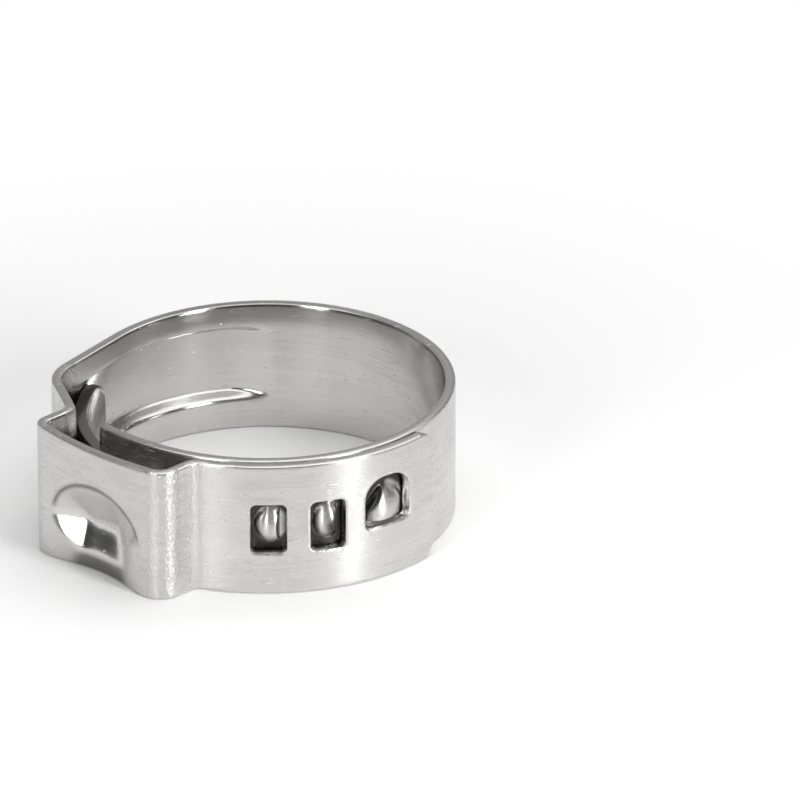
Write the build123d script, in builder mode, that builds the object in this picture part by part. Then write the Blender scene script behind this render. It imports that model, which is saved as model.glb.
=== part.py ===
"""Stepless ear hose clamp, bent up from one length of stainless strip.

The strip starts at a narrow tongue, lies once round the bore as the inner layer, rises into the ear
and comes down again as the outer layer, whose windows are hooked over three scoops in the inner layer.
The band lies flat: Z is the axis of the bore, Z = 0 is the lower edge, and the ear points to -Y.
Sizes are in millimetres. Angles are in degrees from +X towards +Y, and go on past 360 where the
strip does.
"""

from build123d import *
from math import atan2, cos, degrees, radians, sin, sqrt
import os

# ---- driving dimensions: the strip ----
WIDTH = 7.0
THICKNESS = 0.6
EDGE_ROUND = 0.12
LAYER_GAP = 0.05

# ---- the bore: a round side, a flat flank, and the corner where the flank turns to the ear ----
BORE_RADIUS = 9.0
ROUND_START = 290.0
ROUND_END = 551.5
FLANK_LENGTH = 4.3
CORNER_RADIUS = 2.4
CORNER_ANGLE = 49.5

# ---- the ear, measured to the inner face of the strip ----
LEG_OFFSET = 4.03
LEFT_REACH = 11.25
RIGHT_REACH = 10.85
CROWN_BULGE = 0.5
LEFT_BEND = 0.35
RIGHT_BEND = 0.5
NECK_BEND = 1.1

# ---- where the inner and the outer layer end ----
SHOULDER_ANGLE = 625.5
SHOULDER_ROUND = 0.4
OUTER_END = 372.4
OUTER_END_ROUND = 1.1

# ---- windows: middle angle and height of each, then length, height and corner radii ----
WINDOW_ANGLES = (317.4, 334.4)
WINDOW_Z = 3.55
WINDOW_LENGTH = 1.76
WINDOW_HEIGHT = 2.65
WINDOW_ROUND = 0.3
GATE_ANGLE = 353.6
GATE_Z = 4.2
GATE_LENGTH = 2.7
GATE_HEIGHT = 2.7
GATE_ROUND = 1.15

# ---- scoops: ball radius, how far it stands out, and where the sheared end lies from its middle ----
SCOOP_ANGLES = (318.0, 335.2)
SCOOP_Z = 3.6
SCOOP_BALL = 1.05
SCOOP_SQUEEZE = 0.8
SCOOP_SHEAR = 0.2
SCOOP_LEAN = 22.0
GATE_SCOOP_ANGLE = 353.4
GATE_SCOOP_Z = 3.65
GATE_SCOOP_BALL = 1.47
GATE_SCOOP_SHEAR = 0.6
SCOOP_RISE = 0.62
SCOOP_WALL = 0.35

# ---- the groove for the tongue, pressed outwards ----
GROOVE_START = 498.0
GROOVE_EXIT = 580.0
GROOVE_LOW = 1.75
GROOVE_HIGH = 5.6
GROOVE_DRAFT = 0.12
GROOVE_END_ROUND = 1.1
GROOVE_RAMP = 67.0
BACK_START = 493.0
BACK_END = 573.5
EMBOSS_BORDER = 0.6
EMBOSS_ROUND = 0.35
BACK_CUT = 0.35

# ---- the tongue ----
TONGUE_LOW = 1.95
TONGUE_HIGH = 5.4
TONGUE_TIP = 561.3
TONGUE_TIP_ROUND = 1.5
TONGUE_ROOT = 628.5

# ---- the dimple pressed into the ear's crown ----
DIMPLE_X = 0.3
DIMPLE_Y = -15.5
DIMPLE_Z = 1.2
DIMPLE_RADIUS = 4.6
DIMPLE_HEIGHT = 6.12

# ---- sizes worked out from them ----
LAYER_RADIUS = BORE_RADIUS + THICKNESS + LAYER_GAP
INNER_LAYER_OUTSIDE = BORE_RADIUS + THICKNESS
GROOVE_DEPTH = THICKNESS + LAYER_GAP
CUT_MARGIN = 0.3
HALF = THICKNESS / 2
MID_HEIGHT = Vector(0, 0, WIDTH / 2)


def polar(radius, angle):
    """Give the plan point at this radius and angle."""
    return Vector(radius * cos(radians(angle)), radius * sin(radians(angle)))


def radial_plane(radius, angle, height):
    """Give the plane that faces outwards at this angle, with its X axis running round the band."""
    outwards = polar(1, angle)
    around = polar(1, angle + 90)
    return Plane(origin=polar(radius, angle) + Vector(0, 0, height), x_dir=around, z_dir=outwards)


def nearest_vertex(line, point):
    """Give the vertex of the line that lies nearest to the point."""
    return line.vertices().sort_by_distance(point)[0]


# The bore's outline. The chin is the shallow arc under the ear that would meet both the round side
# and the corner without a kink. The tongue keeps to the round: one bow from the chin to the flank.
with BuildLine() as bore:
    round_side = CenterArc((0, 0), BORE_RADIUS, ROUND_START, ROUND_END - ROUND_START)
    flank = PolarLine(round_side @ 1, FLANK_LENGTH, direction=round_side % 1)
    corner = JernArc(flank @ 1, flank % 1, CORNER_RADIUS, CORNER_ANGLE)

corner_centre = corner.arc_center
chin_side = polar(1, ROUND_START)
slack = BORE_RADIUS - CORNER_RADIUS
chin_shift = (corner_centre.length**2 - slack**2) / (2 * (slack - chin_side.dot(corner_centre)))
chin_centre = chin_side * -chin_shift
chin_radius = BORE_RADIUS + chin_shift

with BuildLine() as tongue_line:
    tongue_root = chin_centre + polar(chin_radius, TONGUE_ROOT)
    bow = TangentArc(flank @ 0, tongue_root, tangent=flank % 0)
bow_end = degrees(atan2((tongue_root - bow.arc_center).Y, (tongue_root - bow.arc_center).X)) + 720

# The strip on edge: its middle line, from the shoulder round the bore, over the ear and on to the
# end of the outer layer, with the ear's four bends rounded, drawn out to the strip's thickness.
with BuildSketch() as strip_section:
    with BuildLine() as strip_line:
        CenterArc(chin_centre, chin_radius + HALF, SHOULDER_ANGLE, ROUND_START + 360 - SHOULDER_ANGLE)
        around = CenterArc((0, 0), BORE_RADIUS + HALF, ROUND_START, ROUND_END - ROUND_START)
        side = PolarLine(around @ 1, FLANK_LENGTH, direction=around % 1)
        bend = JernArc(side @ 1, side % 1, CORNER_RADIUS + HALF, CORNER_ANGLE)
        run = (-LEG_OFFSET - HALF - (bend @ 1).X) / (bend % 1).X
        approach = Line(bend @ 1, (bend @ 1) + (bend % 1) * run)
        left_leg = Line(approach @ 1, (-LEG_OFFSET - HALF, -LEFT_REACH - HALF))
        crown = SagittaArc(left_leg @ 1, (LEG_OFFSET + HALF, -RIGHT_REACH - HALF), -CROWN_BULGE)
        foot = Vector(LEG_OFFSET + HALF, -sqrt((LAYER_RADIUS + HALF) ** 2 - (LEG_OFFSET + HALF) ** 2))
        right_leg = Line(crown @ 1, foot)
        foot_angle = degrees(atan2(foot.Y, foot.X)) + 360
        CenterArc((0, 0), LAYER_RADIUS + HALF, foot_angle, OUTER_END - foot_angle)
        fillet(nearest_vertex(strip_line, left_leg @ 1), LEFT_BEND + HALF)
        fillet(nearest_vertex(strip_line, crown @ 1), RIGHT_BEND + HALF)
        fillet(nearest_vertex(strip_line, approach @ 1), NECK_BEND - HALF)
        fillet(nearest_vertex(strip_line, foot), NECK_BEND - HALF)
    trace(line_width=THICKNESS)


def section_plane(first):
    """Give the plane across the start of a line's first piece, with X out of the bore and Y up."""
    along = first % 0
    return Plane(origin=first @ 0, x_dir=Vector(along.Y, -along.X), z_dir=-along)


def groove_line(start, end):
    """Lay the groove's line on the round side and the tongue's bow, and give its first piece."""
    first = CenterArc((0, 0), BORE_RADIUS, start, ROUND_END - start)
    CenterArc(bow.arc_center, bow.radius, ROUND_END, end - ROUND_END)
    return first


def ramp_plane(first, depth):
    """Give the slope that closes the groove's blind end, meeting its wall at this depth."""
    across = section_plane(first)
    slope = across.x_dir * cos(radians(GROOVE_RAMP)) + across.z_dir * sin(radians(GROOVE_RAMP))
    return Plane(across.origin + across.x_dir * depth, z_dir=slope)


def end_corners(shape, point):
    """Give the two short edges of the end face on which the point lies."""
    return shape.faces().sort_by_distance(point)[0].edges().filter_by(Axis.Z, reverse=True)


def scaled_ball(radius, factors):
    """Give a ball about the origin, drawn out or flattened by these factors."""
    return scale(Sphere(radius, mode=Mode.PRIVATE), factors, mode=Mode.PRIVATE)


def dimple_ball(thicker):
    """Give the drawn-out ball that presses the dimple, or the same with its skin this much thicker."""
    radius = DIMPLE_RADIUS + thicker
    return Pos(DIMPLE_X, DIMPLE_Y, DIMPLE_Z) * scaled_ball(radius, (1, 1, (DIMPLE_HEIGHT + thicker) / radius))


# The raised back of the groove, which stands proud outside and dies away along the flank.
with BuildPart() as groove_back:
    with BuildLine():
        back_first = groove_line(BACK_START, BACK_END)
    with BuildSketch(section_plane(back_first)):
        with BuildLine():
            Polyline(
                (HALF, GROOVE_LOW - EMBOSS_BORDER),
                (THICKNESS + GROOVE_DEPTH, GROOVE_LOW),
                (THICKNESS + GROOVE_DEPTH, GROOVE_HIGH),
                (HALF, GROOVE_HIGH + EMBOSS_BORDER),
                close=True,
            )
        back_section = make_face()
        fillet(back_section.vertices().group_by(Axis.X)[-1], EMBOSS_ROUND)
    sweep()
    split(bisect_by=ramp_plane(back_first, HALF), keep=Keep.BOTTOM)
    # Along the flank it starts inside the wall, so that nothing of it stands in the bore.
    with BuildSketch():
        with BuildLine():
            cut_start = polar(BORE_RADIUS + BACK_CUT, ROUND_END)
            Polyline((0, 0), cut_start, cut_start + (flank % 0) * FLANK_LENGTH, close=True)
        make_face()
    extrude(amount=WIDTH, mode=Mode.SUBTRACT)
# The space that the groove leaves free for the tongue.
with BuildPart() as groove_space:
    with BuildLine():
        space_first = groove_line(GROOVE_START, GROOVE_EXIT)
    with BuildSketch(section_plane(space_first)):
        with BuildLine():
            Polyline(
                (-CUT_MARGIN, GROOVE_LOW),
                (GROOVE_DEPTH, GROOVE_LOW + GROOVE_DRAFT),
                (GROOVE_DEPTH, GROOVE_HIGH - GROOVE_DRAFT),
                (-CUT_MARGIN, GROOVE_HIGH),
                close=True,
            )
        make_face()
    sweep()
    split(bisect_by=ramp_plane(space_first, 0), keep=Keep.BOTTOM)
    fillet(end_corners(groove_space, (space_first @ 0) + MID_HEIGHT), GROOVE_END_ROUND)

# The tongue, flush with the bore where it lies in the groove.
with BuildPart() as tongue:
    with BuildLine():
        tongue_first = CenterArc(bow.arc_center, bow.radius, TONGUE_TIP, bow_end - TONGUE_TIP)
    with BuildSketch(section_plane(tongue_first)):
        with Locations((HALF, (TONGUE_LOW + TONGUE_HIGH) / 2)):
            Rectangle(THICKNESS, TONGUE_HIGH - TONGUE_LOW)
    sweep()
    tip = section_plane(tongue_first)
    fillet(end_corners(tongue, tip.origin + tip.x_dir * HALF + MID_HEIGHT), TONGUE_TIP_ROUND)
    tongue_rims = tongue.edges().group_by(Axis.Z)
    chamfer(tongue_rims[0] + tongue_rims[-1], EDGE_ROUND)

# The two windows and the taller gate, through the outer layer only.
with BuildPart() as window_space:
    for window_angle in WINDOW_ANGLES:
        with BuildSketch(radial_plane(BORE_RADIUS, window_angle, WINDOW_Z)):
            RectangleRounded(WINDOW_LENGTH, WINDOW_HEIGHT, WINDOW_ROUND)
    with BuildSketch(radial_plane(BORE_RADIUS, GATE_ANGLE, GATE_Z)) as gate_section:
        Rectangle(GATE_LENGTH, GATE_HEIGHT)
        fillet(gate_section.vertices().group_by(Axis.Y)[-1], GATE_ROUND)
        fillet(gate_section.vertices().group_by(Axis.Y)[0], WINDOW_ROUND)
    extrude(amount=2 * THICKNESS + CUT_MARGIN)
    Cylinder(INNER_LAYER_OUTSIDE + LAYER_GAP / 2, 4 * WIDTH, mode=Mode.SUBTRACT)

# A window's scoop about its ball's middle, X round the band and Z outwards: its shear faces away
# from the ear and leans back.
with BuildPart() as scoop:
    add(scaled_ball(SCOOP_BALL, (SCOOP_SQUEEZE, 1, 1)))
    lean = (cos(radians(SCOOP_LEAN)), 0, sin(radians(SCOOP_LEAN)))
    split(bisect_by=Plane((SCOOP_SHEAR, 0, SCOOP_BALL), z_dir=lean), keep=Keep.BOTTOM)
    split(bisect_by=Plane((0, 0, SCOOP_BALL - SCOOP_RISE - HALF)), keep=Keep.TOP)
scoop_crater = scaled_ball(SCOOP_BALL - SCOOP_WALL, (SCOOP_SQUEEZE, 1, 1))

# The gate's larger scoop, sheared straight along its lower side.
with BuildPart() as gate_scoop:
    Sphere(GATE_SCOOP_BALL)
    split(bisect_by=Plane((0, -GATE_SCOOP_SHEAR, 0), z_dir=(0, -1, 0)), keep=Keep.BOTTOM)
    split(bisect_by=Plane((0, 0, GATE_SCOOP_BALL - SCOOP_RISE - HALF)), keep=Keep.TOP)
gate_crater = Solid.make_sphere(GATE_SCOOP_BALL - SCOOP_WALL, angle1=-90)

# The dimple's back: the pressing ball with the strip's thickness round it, inside the ear only.
with BuildPart() as dimple_back:
    with BuildSketch():
        with BuildLine():
            crown_left = (-LEG_OFFSET - HALF, -LEFT_REACH - HALF)
            crown_right = (LEG_OFFSET + HALF, -RIGHT_REACH - HALF)
            SagittaArc(crown_left, crown_right, -CROWN_BULGE)
            Polyline(crown_right, (crown_right[0], -BORE_RADIUS), (crown_left[0], -BORE_RADIUS), crown_left)
        make_face()
    extrude(amount=WIDTH)
    add(dimple_ball(THICKNESS), mode=Mode.INTERSECT)

# The band itself: the strip with its ends and edges rounded, then all that is pressed and cut in it.
with BuildPart() as clamp_band:
    add(strip_section.sketch)
    extrude(amount=WIDTH)
    fillet(end_corners(clamp_band, polar(LAYER_RADIUS + HALF, OUTER_END) + MID_HEIGHT), OUTER_END_ROUND)
    shoulder_middle = chin_centre + polar(chin_radius + HALF, SHOULDER_ANGLE)
    fillet(end_corners(clamp_band, shoulder_middle + MID_HEIGHT), SHOULDER_ROUND)
    rims = clamp_band.edges().group_by(Axis.Z)
    chamfer(rims[0] + rims[-1], EDGE_ROUND)
    add(dimple_back.part)
    add(dimple_ball(0), mode=Mode.SUBTRACT)
    add(groove_back.part)
    add(groove_space.part, mode=Mode.SUBTRACT)
    add(tongue.part)
    add(window_space.part, mode=Mode.SUBTRACT)
    scoop_radius = INNER_LAYER_OUTSIDE + SCOOP_RISE - SCOOP_BALL
    with Locations(*[radial_plane(scoop_radius, angle, SCOOP_Z) for angle in SCOOP_ANGLES]):
        add(scoop.part)
        add(scoop_crater, mode=Mode.SUBTRACT)
    gate_scoop_radius = INNER_LAYER_OUTSIDE + SCOOP_RISE - GATE_SCOOP_BALL
    with Locations(radial_plane(gate_scoop_radius, GATE_SCOOP_ANGLE, GATE_SCOOP_Z)):
        add(gate_scoop.part)
        add(gate_crater, mode=Mode.SUBTRACT)

clamp_band.part.label = "clamp_band"
os.makedirs("parts", exist_ok=True)
export_step(clamp_band.part, "parts/clamp_band.step")
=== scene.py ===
"""Ear hose clamp of bright stainless strip, lying on a pale floor in soft light.

The strip is modelled as it is made: cut out flat, pressed, and then bent along its own line. Flat,
X runs along the strip from the tongue's tip, Y up across its width, and Z out of the bore. Lengths
are written in millimetres, and are brought to metres where the mesh is laid in the frame. Angles
are in degrees round the bore's middle, from +X towards +Y, and go on past 360 along the strip.
"""

import logging
import math
from dataclasses import dataclass, field
from enum import Enum

import bpy
import numpy as np
from mathutils import Matrix, Vector


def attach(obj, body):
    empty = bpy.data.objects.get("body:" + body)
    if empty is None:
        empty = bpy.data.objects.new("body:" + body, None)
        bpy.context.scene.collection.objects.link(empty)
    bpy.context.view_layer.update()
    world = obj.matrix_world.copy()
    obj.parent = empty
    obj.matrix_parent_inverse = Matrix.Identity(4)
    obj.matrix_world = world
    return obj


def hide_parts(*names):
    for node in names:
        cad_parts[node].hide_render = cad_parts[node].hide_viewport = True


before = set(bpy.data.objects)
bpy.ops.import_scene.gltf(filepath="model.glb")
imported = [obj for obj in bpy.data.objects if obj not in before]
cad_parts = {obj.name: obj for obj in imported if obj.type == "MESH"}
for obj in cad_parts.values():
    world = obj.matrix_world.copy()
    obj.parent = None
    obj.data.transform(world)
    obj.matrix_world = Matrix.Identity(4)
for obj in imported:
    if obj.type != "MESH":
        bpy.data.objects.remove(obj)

MM = 0.001
FRAME_PIXELS = 800
WHITE = (1.0, 1.0, 1.0, 1.0)
# The height in millimetres, or the share, below which nothing is pressed.
NEGLIGIBLE = 1e-4
# A distance in millimetres that only tells one column of the blank from the next.
HAIR = 0.01

log = logging.getLogger("ear_clamp")


def polar(radius: float, angle: float) -> np.ndarray:
    """Give the plan point at this radius in millimetres and angle in degrees."""
    return radius * np.array([math.cos(math.radians(angle)), math.sin(math.radians(angle))])


def smooth_step(value: np.ndarray) -> np.ndarray:
    """Give a soft step that goes from 0 at 0 to 1 at 1."""
    clipped = np.clip(value, 0.0, 1.0)
    return clipped * clipped * (3.0 - 2.0 * clipped)


def grow(value: np.ndarray, start: float, over: float) -> np.ndarray:
    """Give a share that grows softly from 0 at a start to 1 over a distance."""
    return smooth_step((value - start) / over)


def fade(value: np.ndarray, start: float, over: float) -> np.ndarray:
    """Give a share that fades softly from 1 at a start to 0 over a distance."""
    return 1.0 - grow(value, start, over)


def soft_edge(value: np.ndarray, softness: float) -> np.ndarray:
    """Give the value where it is above 0, and 0 below, with a soft turn between them."""
    return np.logaddexp(0.0, value / softness) * softness


# ---------------------------------------------------------------- the strip's line in plan


@dataclass(frozen=True)
class Straight:
    """A straight piece of the strip's middle line.

    Args:
        start: The plan point where it begins.
        heading: The direction of travel, in degrees.
        length: Its length.
    """

    start: tuple[float, float]
    heading: float
    length: float

    def lay(self, along: np.ndarray) -> tuple[np.ndarray, np.ndarray]:
        """Place distances along the piece.

        Args:
            along: Distances from its start.

        Returns:
            The plan points and the outward directions there.
        """
        turn = math.radians(self.heading)
        course = np.array([math.cos(turn), math.sin(turn)])
        outward = np.array([math.sin(turn), -math.cos(turn)])
        points = np.array(self.start) + along[:, None] * course
        return points, np.broadcast_to(outward, points.shape)


@dataclass(frozen=True)
class Arc:
    """A round piece of the strip's middle line, run backwards where its end is the smaller angle.

    Args:
        centre: Its centre in plan.
        radius: Its radius.
        start: The angle where it begins, in degrees.
        end: The angle where it ends, in degrees.
    """

    centre: tuple[float, float]
    radius: float
    start: float
    end: float

    @property
    def length(self) -> float:
        """Its length."""
        return self.radius * abs(math.radians(self.end - self.start))

    def lay(self, along: np.ndarray) -> tuple[np.ndarray, np.ndarray]:
        """Place distances along the piece.

        Args:
            along: Distances from its start.

        Returns:
            The plan points and the outward directions there.
        """
        turn = math.copysign(1.0, self.end - self.start)
        angle = math.radians(self.start) + turn * along / self.radius
        radial = np.stack([np.cos(angle), np.sin(angle)], axis=1)
        return np.array(self.centre) + self.radius * radial, turn * radial


@dataclass
class StripLine:
    """The middle line of the strip from the tongue's tip to the end of the outer layer.

    Every radius, reach and offset is that of the strip's inner side. The reaches are the crown's,
    from the bore's middle to its left and its right end. The tongue's tip is an angle about the
    middle of its own bow. The pieces, their starts, the bow's radius and the length are worked out.
    """

    thickness: float = 0.6
    layer_gap: float = 0.05
    bore_radius: float = 9.0
    round_start: float = 290.0
    round_end: float = 551.5
    flank_length: float = 4.3
    corner_radius: float = 2.4
    corner_angle: float = 49.5
    leg_offset: float = 4.03
    left_reach: float = 11.25
    right_reach: float = 10.85
    crown_bulge: float = 0.5
    left_bend: float = 0.35
    right_bend: float = 0.5
    neck_bend: float = 1.1
    tongue_tip: float = 561.3
    tongue_root: float = 628.5
    outer_end: float = 372.4
    pieces: dict[str, Straight | Arc] = field(default_factory=dict)
    starts: dict[str, float] = field(default_factory=dict)
    bow_radius: float = 0.0
    length: float = 0.0

    def __post_init__(self) -> None:
        """Work out the pieces from the sizes, and where each of them starts."""
        half = self.thickness / 2
        flank_start = polar(self.bore_radius, self.round_end)
        flank_heading = self.round_end + 90.0
        flank_end = flank_start + self.flank_length * polar(1.0, flank_heading)
        corner = flank_end - self.corner_radius * polar(1.0, self.round_end)
        corner_bend = self.corner_radius + half
        corner_end = self.round_end + self.corner_angle
        wall = self.bore_radius + half
        side = tuple(flank_start + half * polar(1.0, self.round_end))
        self.pieces = {
            **self._tongue(flank_start, corner),
            "round": Arc((0.0, 0.0), wall, self.round_start, self.round_end),
            "flank": Straight(side, flank_heading, self.flank_length),
            "corner": Arc(tuple(corner), corner_bend, self.round_end, corner_end),
            **self._ear(corner + corner_bend * polar(1.0, corner_end), corner_end),
        }
        for name, piece in self.pieces.items():
            self.starts[name] = self.length
            self.length += piece.length

    def _tongue(self, flank_start: np.ndarray, corner: np.ndarray) -> dict[str, Arc]:
        """Work out the tongue's bow, and the chin that leads from it to the round side.

        Args:
            flank_start: Where the flank's inner side begins.
            corner: The centre of the corner after the flank.

        Returns:
            The two pieces, by name.
        """
        half = self.thickness / 2
        chin_side = polar(1.0, self.round_start)
        slack = self.bore_radius - self.corner_radius
        shift = (corner @ corner - slack**2) / (2.0 * (slack - chin_side @ corner))
        chin = -shift * chin_side
        chin_radius = self.bore_radius + shift
        # The bow leaves the flank without a kink and ends on the chin.
        root = chin + chin_radius * polar(1.0, self.tongue_root)
        chord = root - flank_start
        lean_in = -(chord @ polar(1.0, self.round_end))
        self.bow_radius = (chord @ chord) / (2.0 * lean_in)
        bow = flank_start - self.bow_radius * polar(1.0, self.round_end)
        bow_end = math.degrees(math.atan2(root[1] - bow[1], root[0] - bow[0])) + 720.0
        chin_end = self.round_start + 360.0
        return {
            "tongue": Arc(tuple(bow), self.bow_radius + half, self.tongue_tip, bow_end),
            "chin": Arc(tuple(chin), chin_radius + half, self.tongue_root, chin_end),
        }

    def _ear(self, start: np.ndarray, side: float) -> dict[str, Straight | Arc]:
        """Work out the ear, with the approach that leads to it and the outer layer after it.

        Args:
            start: Where the approach begins.
            side: The direction of its outer side.

        Returns:
            The pieces, by name.
        """
        half = self.thickness / 2
        heading = side + 90.0
        leg_left = -self.leg_offset - half
        leg_right = self.leg_offset + half
        neck = self.neck_bend - half
        # The neck turns clockwise, so its centre lies on the strip's outer side of both lines.
        out = polar(1.0, side)
        course = polar(1.0, heading)
        run = (leg_left - neck - neck * out[0] - start[0]) / course[0]
        neck_centre = start + run * course + neck * out

        crown_left = np.array([leg_left, -self.left_reach - half])
        crown_right = np.array([leg_right, -self.right_reach - half])
        chord = crown_right - crown_left
        span = float(np.hypot(*chord))
        radius = span**2 / (8.0 * self.crown_bulge) + self.crown_bulge / 2
        up = np.array([-chord[1], chord[0]]) / span
        crown = (crown_left + crown_right) / 2 + (radius - self.crown_bulge) * up
        bend_left = self.left_bend + half
        bend_right = self.right_bend + half
        left = self._seat(leg_left + bend_left, crown, radius - bend_left)
        right = self._seat(leg_right - bend_right, crown, radius - bend_right)
        left_meet = self._bearing(crown, left)
        right_meet = self._bearing(crown, right)

        ring = np.zeros(2)
        layer = self.bore_radius + self.thickness + self.layer_gap + half
        foot = self._seat(leg_right + neck, ring, layer + neck)
        foot_meet = self._bearing(ring, foot)
        return {
            "approach": Straight(tuple(start), heading, run),
            "neck": Arc(tuple(neck_centre), neck, side - 180.0, 360.0),
            "left_leg": Straight((leg_left, neck_centre[1]), 270.0, neck_centre[1] - left[1]),
            "left_bend": Arc(tuple(left), bend_left, 180.0, left_meet),
            "crown": Arc(tuple(crown), radius, left_meet, right_meet),
            "right_bend": Arc(tuple(right), bend_right, right_meet, 360.0),
            "right_leg": Straight((leg_right, right[1]), 90.0, foot[1] - right[1]),
            "foot": Arc(tuple(foot), neck, 180.0, foot_meet - 180.0),
            "outer_layer": Arc((0.0, 0.0), layer, foot_meet, self.outer_end),
        }

    @staticmethod
    def _seat(x: float, about: np.ndarray, radius: float) -> np.ndarray:
        """Give the lower point at this X that lies at this radius about a centre."""
        return np.array([x, about[1] - math.sqrt(radius**2 - (x - about[0]) ** 2)])

    @staticmethod
    def _bearing(about: np.ndarray, point: np.ndarray) -> float:
        """Give the angle from 0 to 360 at which a point is seen from a centre."""
        return math.degrees(math.atan2(point[1] - about[1], point[0] - about[0])) % 360.0

    def station(self, name: str, angle: float) -> float:
        """Give the distance along the strip of an angle on one of its round pieces."""
        piece = self.pieces[name]
        return self.starts[name] + piece.radius * math.radians(angle - piece.start)

    def end(self, name: str) -> float:
        """Give the distance along the strip at which a piece ends."""
        return self.starts[name] + self.pieces[name].length

    def lay(self, along: np.ndarray) -> tuple[np.ndarray, np.ndarray]:
        """Place distances along the whole strip.

        Args:
            along: Distances from the tongue's tip.

        Returns:
            The plan points and the outward directions there.
        """
        points = np.zeros((len(along), 2))
        outwards = np.zeros((len(along), 2))
        names = list(self.pieces)
        edges = np.array([self.starts[name] for name in names[1:]])
        which = np.searchsorted(edges, along, side="right")
        for index, name in enumerate(names):
            mine = which == index
            points[mine], outwards[mine] = self.pieces[name].lay(along[mine] - self.starts[name])
        return points, outwards


# ---------------------------------------------------------------- the flat blank


class Grain(Enum):
    """How closely the blank's columns stand, in millimetres."""

    FINE = 0.085
    CLOSE = 0.12
    MIDDLE = 0.18
    OPEN = 0.32


@dataclass
class RoundedBox:
    """A box in the flat strip with a radius at each corner.

    Args:
        low: Its lowest corner, along the strip and across it.
        high: Its highest corner.
        near: The corner radii at the low end, bottom and top.
        far: The corner radii at the high end, bottom and top.
    """

    low: tuple[float, float]
    high: tuple[float, float]
    near: tuple[float, float]
    far: tuple[float, float]

    def distance(self, along: np.ndarray, across: np.ndarray) -> np.ndarray:
        """Give each place's distance from the outline.

        Args:
            along: Places along the strip.
            across: Places across it.

        Returns:
            The distances, negative inside.
        """
        middle = [(a + b) / 2 for a, b in zip(self.low, self.high)]
        half = [(b - a) / 2 for a, b in zip(self.low, self.high)]
        x = along - middle[0]
        y = across - middle[1]
        near = np.where(y < 0, *self.near)
        far = np.where(y < 0, *self.far)
        radius = np.where(x < 0, near, far)
        qx = np.abs(x) - half[0] + radius
        qy = np.abs(y) - half[1] + radius
        outside = np.hypot(np.maximum(qx, 0.0), np.maximum(qy, 0.0))
        return np.minimum(np.maximum(qx, qy), 0.0) + outside - radius


@dataclass
class Window:
    """A window cut through the outer layer.

    Args:
        angle: The angle of its middle.
        z: The height of its middle.
        length: Its size along the strip.
        height: Its size across the strip.
        upper_round: The radius of its upper corners.
        lower_round: The radius of its lower corners.
    """

    angle: float
    z: float = 3.55
    length: float = 1.76
    height: float = 2.65
    upper_round: float = 0.3
    lower_round: float = 0.3

    def outline(self, line: StripLine) -> RoundedBox:
        """Give the window's outline in the flat strip.

        Args:
            line: The strip's line.

        Returns:
            The outline.
        """
        middle = line.station("outer_layer", self.angle)
        low = (middle - self.length / 2, self.z - self.height / 2)
        high = (middle + self.length / 2, self.z + self.height / 2)
        corners = (self.lower_round, self.upper_round)
        return RoundedBox(low, high, corners, corners)


@dataclass
class Gate(Window):
    """The wider window nearest the outer layer's end."""

    length: float = 2.7
    height: float = 2.7
    z: float = 4.2
    upper_round: float = 1.15


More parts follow.
